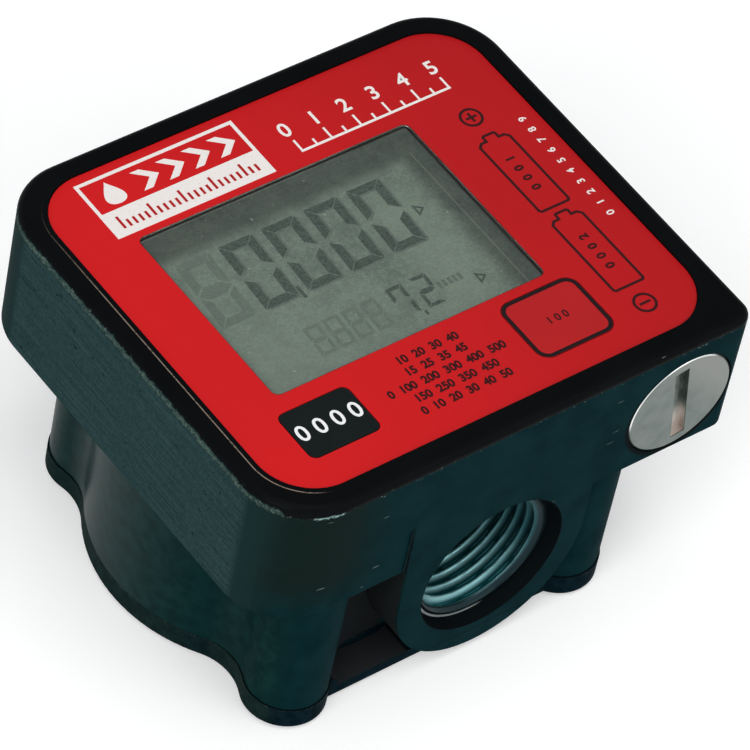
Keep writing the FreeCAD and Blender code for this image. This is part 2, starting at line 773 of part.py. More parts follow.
def build_nodes():
    radii, step = gear_outline()
    nodes = {
        "body_casting": make_body(),
        "chamber_cover": make_cover(),
        "cover_screws": make_cover_screws(),
        "chamber_seal": make_chamber_seal(),
        "display_label": make_label(),
        "display_window": make_window(),
        "display_carrier": make_carrier(),
        "display_gasket": make_gasket(),
        "lcd_glass": make_glass(),
        "lcd_connectors": make_connectors(),
        "circuit_board": make_board(),
        "board_screws": make_board_screws(),
        "controller_chip": make_chip(),
        "key_switches": make_switches(),
        "pulse_sensors": make_sensors(),
        "battery_cap": make_cap(),
        "battery_cap_seal": make_cap_seal(),
        "cap_contact": make_cap_contact(),
        "battery_front": make_cell(0),
        "battery_rear": make_cell(1),
        "battery_contact": make_rear_contact(),
        "contact_insulator": make_insulator(),
    }
    for name, (centre, size, corner) in keys.items():
        nodes[name] = make_key(centre, size, corner)
    for side in gear_axes:
        nodes["oval_gear_" + side] = make_gear(side, radii, step)
        nodes["gear_bush_" + side] = make_bush(side)
        nodes["gear_pin_" + side] = make_pin(side)
        nodes["gear_magnets_" + side] = make_magnets(side)
    return nodes


def write_nodes(nodes):
    os.makedirs("parts", exist_ok=True)
    for name, shape in nodes.items():
        if isinstance(shape, list):
            shape = Part.makeCompound(shape)
        shape.exportStep("parts/" + name + ".step")
        bound = shape.BoundBox
        print(name, len(shape.Solids), "valid" if shape.isValid() else "NOT VALID", round(shape.Volume, 1),
              [round(v, 2) for v in (bound.XMin, bound.XMax, bound.YMin, bound.YMax, bound.ZMin, bound.ZMax)])


write_nodes(build_nodes())
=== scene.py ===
import math

import bpy
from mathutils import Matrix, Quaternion, Vector


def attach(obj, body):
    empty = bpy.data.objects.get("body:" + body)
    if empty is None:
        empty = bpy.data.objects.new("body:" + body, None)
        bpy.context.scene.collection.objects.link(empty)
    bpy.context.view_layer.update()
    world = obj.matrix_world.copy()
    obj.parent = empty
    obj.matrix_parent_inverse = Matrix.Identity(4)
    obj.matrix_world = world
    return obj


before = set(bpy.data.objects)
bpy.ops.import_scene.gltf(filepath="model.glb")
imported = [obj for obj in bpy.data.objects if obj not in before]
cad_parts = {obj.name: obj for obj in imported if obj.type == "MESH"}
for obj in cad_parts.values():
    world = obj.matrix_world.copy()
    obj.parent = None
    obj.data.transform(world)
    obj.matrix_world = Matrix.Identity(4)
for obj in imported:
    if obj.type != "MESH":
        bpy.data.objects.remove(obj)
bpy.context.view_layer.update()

# Looks of an oil flow meter. Lengths in this script are millimetres, in the frame of the CAD model,
# and MM turns them into Blender's metres. Only the floor and the lamps are placed in metres.
MM = 0.001

# Camera of the photograph
camera_place = (-372.5, -367.0, 591.3)
camera_aim = (1.78, -3.35, 24.0)
camera_roll_deg = 12.55
camera_lens = 273.3

# Measures shared with the CAD model. The port faces and the cap's face lie half the depth from the middle.
half_depth = 34.0
housing_bottom = 24.5
label_top = 46.2
rim_top = 46.5
glass_top = 44.6
seam_z = 4.0
recess_half_x = 35.6
recess_half_y = 30.6
recess_corner = 8.1
port_x = 0.0
port_z = 17.0
counterbore_radius = 11.7
counterbore_depth = 2.0
thread_major = 10.46
thread_minor = 9.32
thread_pitch = 1.814
thread_length = 12.5
cap_x = 28.6
cap_z = 34.0
cap_skirt_radius = 7.3
cap_skirt_front = -31.6
cap_skirt_length = 6.0
cap_thread_pitch = 1.5
cap_thread_height = 0.08

# Printed ink stands this far out of the sheet, and the display's front film out of its glass
ink = 0.02
film_depth = 0.15
film_top = glass_top + film_depth

# Points round each thread and bevel
ring_steps = 120


def linear(rgb):
    """Linear colour from the usual 0 to 255 values."""
    return [((c / 255 + 0.055) / 1.055) ** 2.4 if c > 10 else c / 255 / 12.92 for c in rgb]


class Finish:
    """Node graph of one material. Patterns are in the part's own millimetres."""

    def __init__(self, name, rgb, roughness, metallic=0.0, **values):
        self.material = bpy.data.materials.new(name)
        self.material.use_nodes = True
        self.nodes = self.material.node_tree.nodes
        self.links = self.material.node_tree.links
        self.shader = self.nodes["Principled BSDF"]
        self.base = (*linear(rgb), 1.0)
        self.put(self.shader.inputs["Base Color"], self.base)
        self.put(self.shader.inputs["Roughness"], roughness)
        self.put(self.shader.inputs["Metallic"], metallic)
        for socket, value in values.items():
            self.put(self.shader.inputs[socket.replace("_", " ")], value)
        self.coordinates = self.nodes.new("ShaderNodeTexCoord").outputs["Object"]

    def put(self, socket, value):
        """Links another socket to this one, or sets a plain value."""
        if isinstance(value, bpy.types.NodeSocket):
            self.links.new(value, socket)
        else:
            socket.default_value = value

    def space(self, stretch=(1, 1, 1)):
        """The part's coordinates in millimetres, squeezed by stretch."""
        node = self.nodes.new("ShaderNodeMapping")
        self.put(node.inputs["Vector"], self.coordinates)
        self.put(node.inputs["Scale"], [s / MM for s in stretch])
        return node.outputs["Vector"]

    def axes(self):
        """X, Y and Z in millimetres."""
        node = self.nodes.new("ShaderNodeSeparateXYZ")
        self.put(node.inputs[0], self.space())
        return node.outputs

    def facing(self):
        """X, Y and Z of the surface's own direction."""
        node = self.nodes.new("ShaderNodeSeparateXYZ")
        source = self.nodes.new("ShaderNodeTexCoord")
        self.put(node.inputs[0], source.outputs["Normal"])
        return node.outputs

    def noise(self, per_mm, detail=3.0, roughness=0.5, stretch=(1, 1, 1)):
        """Soft random pattern with that many swells in a millimetre."""
        node = self.nodes.new("ShaderNodeTexNoise")
        self.put(node.inputs["Vector"], self.space(stretch))
        self.put(node.inputs["Scale"], per_mm)
        self.put(node.inputs["Detail"], detail)
        self.put(node.inputs["Roughness"], roughness)
        return node.outputs[0]

    def math(self, operation, a, b=0.0):
        """Result of one operation on numbers or sockets."""
        node = self.nodes.new("ShaderNodeMath")
        node.operation = operation
        self.put(node.inputs[0], a)
        self.put(node.inputs[1], b)
        return node.outputs[0]

    def times(self, *factors):
        """Product of numbers or sockets."""
        product = factors[0]
        for factor in factors[1:]:
            product = self.math("MULTIPLY", product, factor)
        return product

    def step(self, value, low, high):
        """0 below low, 1 above high, smooth between. low may be above high."""
        node = self.nodes.new("ShaderNodeMapRange")
        node.interpolation_type = "SMOOTHSTEP"
        self.put(node.inputs["Value"], value)
        ends = (low, high, 0.0, 1.0) if low < high else (high, low, 1.0, 0.0)
        for socket, end in zip(("From Min", "From Max", "To Min", "To Max"), ends):
            self.put(node.inputs[socket], end)
        return node.outputs["Result"]

    def between(self, value, low, high, edge):
        """1 from low to high and 0 outside, with soft edges."""
        above = self.step(value, low - edge, low + edge)
        below = self.step(value, high + edge, high - edge)
        return self.times(above, below)

    def mix(self, factor, a, b):
        """Colour a where factor is 0 and b where it is 1. A colour is 0 to 255 values or a socket."""
        node = self.nodes.new("ShaderNodeMix")
        node.data_type = "RGBA"
        self.put(node.inputs[0], factor)
        for socket, colour in ((node.inputs[6], a), (node.inputs[7], b)):
            self.put(socket, colour if isinstance(colour, bpy.types.NodeSocket) else (*linear(colour), 1.0))
        return node.outputs[2]

    def blend(self, factor, a, b):
        """Number a where factor is 0 and b where it is 1."""
        node = self.nodes.new("ShaderNodeMix")
        self.put(node.inputs[0], factor)
        self.put(node.inputs[2], a)
        self.put(node.inputs[3], b)
        return node.outputs[0]

    def colour(self, value):
        """Colour all over the surface."""
        self.put(self.shader.inputs["Base Color"], value)

    def rough(self, value):
        """Roughness all over the surface."""
        self.put(self.shader.inputs["Roughness"], value)

    def bump(self, height, depth, under=None):
        """Relief of that depth in millimetres."""
        node = self.nodes.new("ShaderNodeBump")
        self.put(node.inputs["Distance"], depth * MM)
        self.put(node.inputs["Height"], height)
        if under is not None:
            self.put(node.inputs["Normal"], under)
        self.put(self.shader.inputs["Normal"], node.outputs[0])
        return node.outputs[0]


def casting_finish():
    """Black paint on a die casting: glossy rim, milled left side, front painted darker and bluer for its
    shade and a bluish reflection, cast lower body.
    """
    f = Finish("painted_casting", (6, 32, 42), 0.55, Specular_IOR_Level=0.004, Coat_Roughness=0.25,
               Coat_IOR=1.15)
    x, y, z = f.axes()
    nx, ny, _ = f.facing()
    cloud = f.noise(0.12, 3)
    patches = f.noise(0.45, 4, 0.6)
    grain = f.noise(5.0, 4, 0.6)
    speckle = f.noise(2.6, 4, 0.75)
    flake = f.noise(2.4, 4, 0.8)
    lines = f.noise(1.0, 5, 0.65, (2.0, 0.06, 7.0))

    # Where each kind of surface is
    leftward = f.times(f.step(nx, -0.3, -0.6), f.step(x, -36.5, -37.0))
    edge = f.math("SUBTRACT", z, f.times(leftward, 0.75))
    edge = f.math("ADD", edge, f.times(f.math("SUBTRACT", f.noise(1.3, 5, 0.75), 0.5), 1.5))
    rim = f.step(edge, 44.85, 45.0)
    upper = f.step(z, housing_bottom - 0.2, housing_bottom + 0.2)
    left = f.times(leftward, upper, f.step(f.math("ABSOLUTE", ny), 0.22, 0.06))
    front = f.step(ny, -0.3, -0.8)

    # Colour of each kind of surface
    lower = f.mix(f.step(patches, 0.3, 0.75), (10, 36, 36), (18, 49, 48))
    tone = f.math("ADD", f.times(lines, 0.6), f.times(speckle, 0.4))
    milled = f.mix(f.step(tone, 0.38, 0.62), (26, 48, 50), (51, 74, 75))
    pits = f.step(f.noise(0.9, 3, 0.6, (1.5, 0.5, 1.5)), 0.66, 0.71)
    milled = f.mix(pits, milled, (10, 24, 26))
    # The front faces are painted darker and bluer than the rest: painted shade with a bluish painted
    # reflection.
    front_painted_shade = f.mix(f.step(f.noise(0.2, 3), 0.3, 0.7), (6, 34, 38), (13, 42, 46))
    front_painted_shade = f.mix(f.times(f.step(x, -20, -29), f.step(z, 24, 32)), front_painted_shade, (19, 33, 31))
    corner = f.mix(upper, lower, (25, 45, 45))
    side = f.mix(left, f.mix(front, corner, front_painted_shade), milled)
    rim_colour = f.mix(cloud, (9, 11, 12), (16, 18, 19))
    body = f.mix(rim, side, rim_colour)

    # Wear along the rim and on the front, with a painted shadow line below the crust and a painted glint at
    # the rim's front left corner
    # Painted shadow: a dark line just below the crust on the left side.
    shadow_line = f.times(f.between(edge, 43.85, 44.05, 0.1), leftward)
    body = f.mix(f.times(shadow_line, 0.6), body, (14, 34, 32))
    crust = f.times(f.between(edge, 44.1, 44.8, 0.25), leftward, f.step(flake, 0.34, 0.5))
    crust_colour = f.mix(f.step(speckle, 0.42, 0.62), (40, 60, 55), (98, 114, 104))
    body = f.mix(f.times(crust, 0.8), body, crust_colour)
    chips = f.times(f.between(edge, 44.6, 45.05, 0.12), f.step(flake, 0.61, 0.67))
    # Painted glint at the front left corner of the rim, broken up like chips.
    corner_glint = f.times(f.between(x, -33.6, -29.6, 0.3), f.between(z, 44.75, 45.1, 0.12),
                      f.step(ny, -0.3, -0.5), f.step(flake, 0.44, 0.52))
    scratch = f.times(f.step(f.noise(0.35, 2, 0.5, (0.6, 1.0, 6.0)), 0.735, 0.75), front, upper)
    body = f.mix(f.math("MAXIMUM", chips, f.times(scratch, 0.7)), body, (134, 150, 142))
    body = f.mix(corner_glint, body, (150, 182, 178))
    body = f.mix(f.times(worn_line(f, x, y, z, flake), 0.8), body, (160, 142, 128))

    # Dark joints, and painted shade in the crack by the port boss, in the pocket and in the holes
    wander = f.times(f.math("SUBTRACT", f.noise(0.6, 2), 0.5), 0.5)
    # Painted shadow: a dark wavy line in the crack between the front and the port boss.
    crack_shadow = f.times(f.between(f.math("ADD", x, wander), -16.4, -15.9, 0.12),
                    f.step(ny, -0.1, -0.5), upper, f.step(z, 36, 31))
    joint_and_crack_shadow = f.math("MAXIMUM", f.between(z, seam_z - 0.04, seam_z + 0.07, 0.04), crack_shadow)
    below = f.step(z, housing_bottom, housing_bottom - 0.3)
    # Painted shade: the pocket is painted an even dull grey.
    pocket_shade = f.times(f.between(x, -21.9, -11.4, 0.1), f.step(y, -20.0, -21.0),
                     f.step(y, 0.1 - half_depth, 0.5 - half_depth), below)
    body = f.mix(f.times(pocket_shade, 0.9), body, (34, 35, 37))
    body = f.mix(hole_shade(f, x, y, z), body, (15, 20, 22))
    f.colour(f.mix(f.times(joint_and_crack_shadow, 0.9), body, (3, 5, 7)))

    f.rough(f.blend(rim, f.blend(left, 0.5, 0.62), 0.25))
    gloss = f.times(below, f.step(y, -24, -14), f.step(ny, -0.6, 0.0))
    f.put(f.shader.inputs["Coat Weight"], f.math("ADD", f.times(gloss, 0.6), f.times(rim, 0.2)))
    relief = f.bump(lines, 0.04)
    f.bump(grain, 0.02, relief)
    return f.material


def distance(f, a, b):
    """Distance of a point from an axis, from its two parts across that axis."""
    return f.math("SQRT", f.math("ADD", f.times(a, a), f.times(b, b)))


def hole_shade(f, x, y, z):
    """Painted shade on the walls of the port counterbores, and a painted shadow in the gap round the battery
    cap.
    """
    port = distance(f, f.math("SUBTRACT", x, port_x), f.math("SUBTRACT", z, port_z))
    outward = f.math("ABSOLUTE", y)
    floor_y = half_depth - counterbore_depth
    wall = f.times(f.step(port, counterbore_radius + 0.12, counterbore_radius + 0.04),
                   f.step(outward, floor_y - 0.2, floor_y - 0.1))
    cap = distance(f, f.math("SUBTRACT", x, cap_x - 0.22), f.math("SUBTRACT", z, cap_z - 0.16))
    cap_gap_shadow = f.times(f.step(cap, 9.15, 8.9), f.step(y, 0.3 - half_depth, 0.1 - half_depth))
    return f.math("MAXIMUM", wall, cap_gap_shadow)


def worn_line(f, x, y, z, flake):
    """Thin bare line on the rim outside the front sheet, at its left edge and front left corner."""
    across = f.math("SUBTRACT", f.math("ABSOLUTE", x), recess_half_x - recess_corner)
    along = f.math("SUBTRACT", f.math("ABSOLUTE", y), recess_half_y - recess_corner)
    reach = distance(f, f.math("MAXIMUM", across, 0.0), f.math("MAXIMUM", along, 0.0))
    inner, outer = recess_corner + 0.72, recess_corner + 0.86
    line = f.between(reach, inner, outer, 0.05)
    here = f.times(f.step(z, rim_top - 0.2, rim_top - 0.1), f.step(x, -27.0, -30.0),
                   f.step(y, 30, 6), f.step(y, -31.2, -29.6))
    return f.times(line, here, f.step(flake, 0.36, 0.5))


def cover_finish():
    """Black paint, darker and bluer on the front as painted shade, an even grey in the pocket as painted
    shade, painted shade along its lower edge, and nicked at the joint.
    """
    f = Finish("painted_cover", (10, 30, 38), 0.5, Specular_IOR_Level=0.004)
    x, _, z = f.axes()
    _, ny, nz = f.facing()
    cloud = f.noise(0.6, 5, 0.7)
    # Painted shade: the front is darker and bluer than the sides, with a bluish painted reflection.
    front = f.mix(f.step(cloud, 0.35, 0.7), (4, 20, 27), (13, 32, 39))
    side = f.mix(f.step(cloud, 0.35, 0.7), (17, 33, 32), (27, 45, 43))
    painted = f.mix(f.step(ny, -0.3, -0.8), side, front)
    # Painted shade: darker along the lower edge of the sides.
    wear_and_shade = f.times(f.step(z, 0.9, 0.2), f.step(f.noise(1.2, 4, 0.7), 0.4, 0.6), f.step(nz, -0.9, -0.6))
    nick = f.times(f.between(z, seam_z - 0.25, seam_z + 0.1, 0.08),
                   f.step(f.noise(2.2, 4, 0.8), 0.58, 0.66))
    edge = f.mix(f.times(nick, 0.5), f.mix(wear_and_shade, painted, (8, 10, 12)), (110, 122, 116))
    # Painted shade: the top in the pocket is an even grey.
    top = f.mix(f.between(x, -22.5, -10.0, 0.3), (10, 18, 20), (40, 42, 44))
    f.colour(f.mix(f.step(nz, 0.6, 0.9), edge, top))
    f.bump(f.noise(5.0, 4, 0.6), 0.025)
    return f.material


def carrier_finish():
    """Black moulded plate; its window opening is greyed by the light that the display throws back."""
    f = Finish("carrier_black", (24, 24, 25), 0.5)
    x, y, z = f.axes()
    plate = f.mix(f.noise(0.3, 4, 0.6), (24, 24, 25), (34, 34, 35))
    inside = f.times(f.between(x, -27.0, 18.6, 0.1), f.between(y, -14.6, 17.6, 0.1),
                     f.step(z, 44.2, 44.4))
    f.colour(f.mix(inside, plate, (74, 66, 62)))
    f.bump(f.noise(4.0, 3), 0.015)
    return f.material


def label_finish():
    """Red screen print on a polyester sheet with a fine pebble."""
    f = Finish("red_print", (190, 22, 26), 0.36, Specular_IOR_Level=0.25)
    cloud = f.noise(0.03, 2)
    x = f.axes()[0]
    # Painted light: the sheet is lighter at the left and darker towards the right.
    light = f.math("ADD", f.times(cloud, 0.3), f.times(f.step(x, -38, 38), 0.7))
    f.colour(f.mix(light, (214, 20, 24), (172, 14, 20)))
    f.rough(f.blend(f.noise(6.0, 3), 0.32, 0.44))
    f.bump(f.noise(9.0, 2), 0.004)
    return f.material


def key_finish():
    """Black print on the reset key."""
    f = Finish("key_black", (8, 16, 18), 0.34, Specular_IOR_Level=0.25)
    f.colour(f.mix(f.noise(0.25, 3), (5, 12, 13), (12, 22, 22)))
    f.bump(f.noise(9.0, 2), 0.004)
    return f.material


def red_key_finish():
    """Red print on the other key, a little darker than the sheet."""
    f = Finish("key_red", (184, 18, 22), 0.36, Specular_IOR_Level=0.4)
    f.colour(f.mix(f.noise(0.1, 2), (186, 18, 22), (172, 16, 22)))
    f.bump(f.noise(9.0, 2), 0.004)
    return f.material


def cap_finish():
    """Turned face with fine rings, a painted sheen to the upper right, a painted highlight on its upper left
    edge, and a slot that is lighter at its lower right end.
    """
    f = Finish("turned_cap", (124, 132, 129), 0.36, 1.0)
    x, y, z = f.axes()
    dx = f.math("SUBTRACT", x, cap_x)
    dz = f.math("SUBTRACT", z, cap_z)
    away = distance(f, dx, dz)
    rings = f.math("SINE", f.times(away, 16.0))
    smudge = f.step(f.noise(0.35, 3, 0.6), 0.3, 0.7)
    tone = f.math("ADD", f.times(smudge, 0.8), f.times(rings, 0.04))
    face = f.mix(tone, (98, 108, 104), (126, 134, 130))
    # Painted sheen: the face is lighter towards the upper right.
    upper_right = f.step(f.math("ADD", dx, dz), 1.0, 9.0)
    face = f.mix(f.times(upper_right, 0.6), face, (146, 146, 141))
    # Painted highlight on the upper left edge.
    edge_highlight = f.times(f.step(away, 8.3, 8.4),
                       f.step(f.math("SUBTRACT", dz, f.times(dx, 0.6)), 3.0, 5.5))
    face = f.mix(edge_highlight, face, (252, 254, 252))
    streaks = f.noise(2.0, 3, 0.6, (3.0, 1.0, 0.3))
    lighter_end = f.step(f.math("ADD", f.math("SUBTRACT", dz, dx), f.times(streaks, 5.0)), 1.2, -3.6)
    darker = f.mix(f.step(streaks, 0.35, 0.65), (78, 88, 84), (118, 128, 120))
    slot = f.mix(lighter_end, darker, (200, 192, 186))
    in_slot = f.times(f.step(y, 0.1 - half_depth, 0.2 - half_depth), f.step(away, 8.3, 8.2),
                      f.step(y, 2.0 - half_depth, 1.8 - half_depth))
    f.colour(f.mix(in_slot, face, slot))
    f.rough(f.blend(smudge, 0.3, 0.44))
    f.bump(rings, 0.002)
    return f.material


def thread_finish():
    """Cut thread, blue-green, with painted shade in its roots and painted light that makes it brighter low
    on the left.
    """
    f = Finish("cut_thread", (96, 134, 138), 0.36, 0.65)
    x, y, z = f.axes()
    rise = f.math("SUBTRACT", z, port_z)
    along = f.math("ADD", x, rise)
    patches = f.times(f.math("SUBTRACT", f.noise(0.5, 3), 0.5), 5.0)
    # Painted light and shade: bright low on the left, darker and rougher up on the right.
    darker = f.step(f.math("ADD", along, patches), -10.0, 9.0)
    root = f.step(distance(f, f.math("SUBTRACT", x, port_x), rise), 9.6, 10.25)
    lit_low_left = f.mix(darker, (132, 182, 186), (26, 80, 86))
    # Painted shade: the roots of the thread are a darker blue-green.
    film = f.mix(darker, (10, 92, 98), (2, 40, 46))
    mouth = f.step(f.math("ABSOLUTE", y), 31.1, 31.5)
    f.colour(f.mix(mouth, f.mix(root, lit_low_left, film), (4, 34, 40)))
    f.rough(f.blend(darker, 0.32, 0.45))
    f.bump(f.noise(2.0, 2, 0.5, (1, 4, 1)), 0.001)
    return f.material


def lip_finish():
    """Bevel of the counterbore's floor: a painted highlight of bright metal low on the left, dark elsewhere.
    """
    f = Finish("lip_highlight", (150, 165, 165), 0.45, 0.5, Specular_IOR_Level=0.05)
    x, _, z = f.axes()
    along = f.math("ADD", x, f.math("SUBTRACT", z, port_z))
    # Painted highlight low on the left.
    lit_low_left = f.step(along, -8.5, -11.5)
    f.colour(f.mix(lit_low_left, (4, 14, 18), (188, 200, 198)))
    f.put(f.shader.inputs["Metallic"], f.times(lit_low_left, 0.5))
    return f.material


def pane_finish():
    """Clear pane whose cut edge is painted a dull red, standing in for the shaded edge of the sheet seen
    through it.
    """
    f = Finish("clear_acrylic", (236, 242, 236), 0.04, IOR=1.49, Transmission_Weight=1.0)
    nz = f.facing()[2]
    f.colour(f.mix(f.step(f.math("ABSOLUTE", nz), 0.5, 0.8), (130, 74, 70), (238, 243, 238)))
    f.rough(f.blend(f.noise(0.8, 3), 0.01, 0.06))
    return f.material


def lcd_finish(name, dark, light):
    """Reflective display: soft paper-like reflector with fine grain."""
    f = Finish(name, light, 0.5)
    grain = f.noise(5.0, 3, 0.7)
    cloud = f.noise(0.1, 2)
    tone = f.math("ADD", f.times(grain, 0.5), f.times(cloud, 0.5))
    f.colour(f.mix(f.step(tone, 0.35, 0.65), dark, light))
    f.bump(grain, 0.01)
    return f.material


def film_finish():
    """Front film of the display, shaded at the back and right where the frame's shadow falls."""
    f = Finish("lcd_film", (152, 163, 157), 0.5)
    x, y, _ = f.axes()
    grain = f.noise(2.6, 5, 0.8)
    cloud = f.noise(0.3, 4, 0.7)
    tone = f.math("ADD", f.times(grain, 0.6), f.times(cloud, 0.4))
    film = f.mix(f.step(tone, 0.38, 0.62), (132, 146, 138), (172, 183, 174))
    # Painted light: lighter towards the lower left corner and in a patch in the middle.
    corner = f.step(f.math("ADD", x, y), 2.0, -34.0)
    film = f.mix(f.times(corner, 0.45), film, (184, 194, 184))
    middle = f.times(f.between(x, 4.0, 12.0, 3.0), f.step(y, 12.0, 6.0))
    film = f.mix(f.times(middle, 0.45), film, (188, 198, 184))
    # Painted shadow of the frame at the back, on the right and faintly at the left edge.
    back = f.step(f.math("ADD", y, f.times(grain, 1.6)), 12.0, 14.6)
    right = f.step(f.math("ADD", x, f.times(grain, 0.6)), 13.0, 16.0)
    left = f.times(f.step(x, -24.6, -26.6), 0.4)
    shade = f.math("MAXIMUM", f.math("MAXIMUM", back, right), left)
    dim = f.mix(f.step(tone, 0.38, 0.62), (82, 90, 88), (108, 114, 110))
    film = f.mix(f.times(shade, 0.85), film, dim)
    line = f.times(f.between(x, 15.9, 16.1, 0.08), f.step(y, 13.6, 12.6))
    film = f.mix(f.times(line, 0.5), film, (170, 178, 170))
    specks = f.step(f.noise(1.3, 2, 0.5), 0.735, 0.76)
    f.colour(f.mix(f.times(specks, 0.7), film, (226, 232, 226)))
    f.bump(grain, 0.02)
    return f.material


def ink_finish(name, rgb, wear_and_shade):
    """Screen ink with small worn spots."""
    f = Finish(name, rgb, 0.45, Specular_IOR_Level=0.2)
    f.colour(f.mix(f.step(f.noise(3.0, 4, 0.7), 0.55, 0.75), rgb, wear_and_shade))
    return f.material


def segment_finish(name, rgb, faint):
    """Bars of the display, uneven in depth."""
    f = Finish(name, rgb, 0.4)
    f.colour(f.mix(f.step(f.noise(2.6, 4, 0.75), 0.35, 0.65), rgb, faint))
    return f.material


def metal_finish(name, rgb, dark, stretch, roughness=0.3, lines=1.0):
    """Machined metal whose tool lines run along the axis with the small stretch."""
    f = Finish(name, rgb, roughness, 1.0)
    streaks = f.noise(lines, 4, 0.6, stretch)
    f.colour(f.mix(f.step(streaks, 0.3, 0.7), dark, rgb))
    f.rough(f.blend(streaks, roughness * 0.7, roughness * 1.4))
    f.bump(streaks, 0.01)
    return f.material


def moulded_finish(name, rgb, spread, roughness=0.5, grain=4.0):
    """Moulded plastic or rubber, lighter in places by spread."""
    f = Finish(name, rgb, roughness)
    other = [min(255, c + spread) for c in rgb]
    f.colour(f.mix(f.noise(0.3, 4, 0.6), rgb, other))
    f.bump(f.noise(grain, 3), 0.015)
    return f.material


def board_finish():
    """Green laminate with copper tracks under the mask."""
    f = Finish("board_green", (18, 74, 44), 0.38)
    tracks = f.nodes.new("ShaderNodeTexBrick")
    f.put(tracks.inputs["Vector"], f.space())
    for socket, value in (("Scale", 0.35), ("Mortar Size", 0.05), ("Brick Width", 1.4), ("Row Height", 0.5)):
        f.put(tracks.inputs[socket], value)
    f.colour(f.mix(tracks.outputs["Fac"], (16, 66, 40), (40, 104, 62)))
    f.bump(tracks.outputs["Fac"], 0.03)
    return f.material


def dress():
    """A finish for every node of the CAD model."""
    steel = metal_finish("ground_steel", (176, 178, 180), (128, 130, 134), (4, 4, 0.1))
    along_tube = metal_finish("cell_jacket", (128, 130, 136), (92, 94, 100), (1, 0.05, 1), 0.35)
    rubber = moulded_finish("nitrile", (20, 20, 20), 10, 0.7)
    spring = metal_finish("spring_brass", (196, 184, 140), (150, 138, 100), (1, 1, 0.2))
    black_steel = metal_finish("black_steel", (48, 48, 52), (24, 24, 26), (1, 1, 0.2), 0.45)
    turned = cap_finish()
    cap_thread(turned)
    finishes = {
        "body_casting": casting_finish(),
        "chamber_cover": cover_finish(),
        "display_label": label_finish(),
        "display_window": pane_finish(),
        "lcd_glass": lcd_finish("lcd_edge", (66, 76, 72), (86, 96, 90)),
        "reset_key": key_finish(),
        "cal_key": red_key_finish(),
        "battery_cap": turned,
        "circuit_board": board_finish(),
        "controller_chip": moulded_finish("chip_black", (26, 26, 28), 8, 0.6, 6.0),
        "battery_front": along_tube,
        "battery_rear": along_tube,
        "cap_contact": spring,
        "battery_contact": spring,
        "contact_insulator": moulded_finish("insulator", (214, 206, 184), 14),
        "cover_screws": black_steel,
        "board_screws": steel,
        "key_switches": metal_finish("switch_dome", (170, 172, 176), (130, 132, 136), (1, 1, 1), 0.35),
        "pulse_sensors": moulded_finish("sensor_black", (30, 30, 32), 12),
        "lcd_connectors": moulded_finish("contact_rubber", (40, 40, 42), 40, 0.6, 1.5),
        "display_carrier": carrier_finish(),
        "display_gasket": moulded_finish("gasket_foam", (44, 44, 46), 16, 0.9, 3.0),
        "chamber_seal": rubber,
        "battery_cap_seal": rubber,
    }
    gear = moulded_finish("gear_resin", (196, 186, 166), 18)
    bronze = metal_finish("sintered_bronze", (164, 120, 74), (116, 82, 48), (1, 1, 1), 0.5, 3.0)
    magnet = metal_finish("nickel", (186, 184, 178), (150, 148, 142), (1, 1, 1), 0.25)
    for side in ("left", "right"):
        finishes["oval_gear_" + side] = gear
        finishes["gear_bush_" + side] = bronze
        finishes["gear_pin_" + side] = steel
        finishes["gear_magnets_" + side] = magnet
    for name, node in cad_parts.items():
        node.data.materials.clear()
        node.data.materials.append(finishes[name])


def piece(name, vertices, faces, material, body="meter", smooth=None):
    """New mesh from millimetre points, riding on a body."""
    mesh = bpy.data.meshes.new(name)
    mesh.from_pydata([Vector(v) * MM for v in vertices], [], faces)
    mesh.validate()
    mesh.materials.append(material)
    made = bpy.data.objects.new(name, mesh)
    bpy.context.scene.collection.objects.link(made)
    if smooth is not None:
        mesh.shade_smooth()
        mesh.set_sharp_from_angle(angle=math.radians(smooth))
    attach(made, body)
    return made


def print_on(name, outlines, material, z, thickness, body="meter"):
    """Flat shapes of even thickness from closed outlines. An outline inside another is a hole."""
    curve = bpy.data.curves.new(name, "CURVE")
    curve.dimensions = "2D"
    curve.fill_mode = "BOTH"
    curve.extrude = thickness / 2 * MM
    for outline in outlines:
        spline = curve.splines.new("POLY")
        spline.points.add(len(outline) - 1)
        for point, (x, y) in zip(spline.points, outline):
            point.co = (x * MM, y * MM, 0, 1)
        spline.use_cyclic_u = True
    shaper = bpy.data.objects.new(name + "_shaper", curve)
    shaper.location.z = (z + thickness / 2) * MM
    return from_shaper(name, shaper, material, body)


def from_shaper(name, shaper, material, body):
    """Turns a curve or text object into a mesh piece in the part's frame."""
    bpy.context.scene.collection.objects.link(shaper)
    bpy.context.view_layer.update()
    mesh = bpy.data.meshes.new_from_object(shaper)
    mesh.transform(shaper.matrix_world)
    mesh.materials.clear()
    mesh.materials.append(material)
    bpy.data.objects.remove(shaper)
    made = bpy.data.objects.new(name, mesh)
    bpy.context.scene.collection.objects.link(made)
    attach(made, body)
    return made


def numeral(name, text, centre, height, material, z, turn_deg=0.0, body="meter", bold=0.0):
    """Plain numbers in Blender's own font, centred on a point and thickened by bold on each side."""
    curve = bpy.data.curves.new(name, "FONT")
    curve.body = text
    curve.align_x = "CENTER"
    curve.align_y = "CENTER"
    curve.size = height / 0.7 * MM
    curve.extrude = ink / 2 * MM
    curve.offset = bold * MM
    shaper = bpy.data.objects.new(name + "_shaper", curve)
    shaper.location = Vector((centre[0], centre[1], z + ink / 2)) * MM
    shaper.rotation_euler.z = math.radians(turn_deg)
    return from_shaper(name, shaper, material, body)


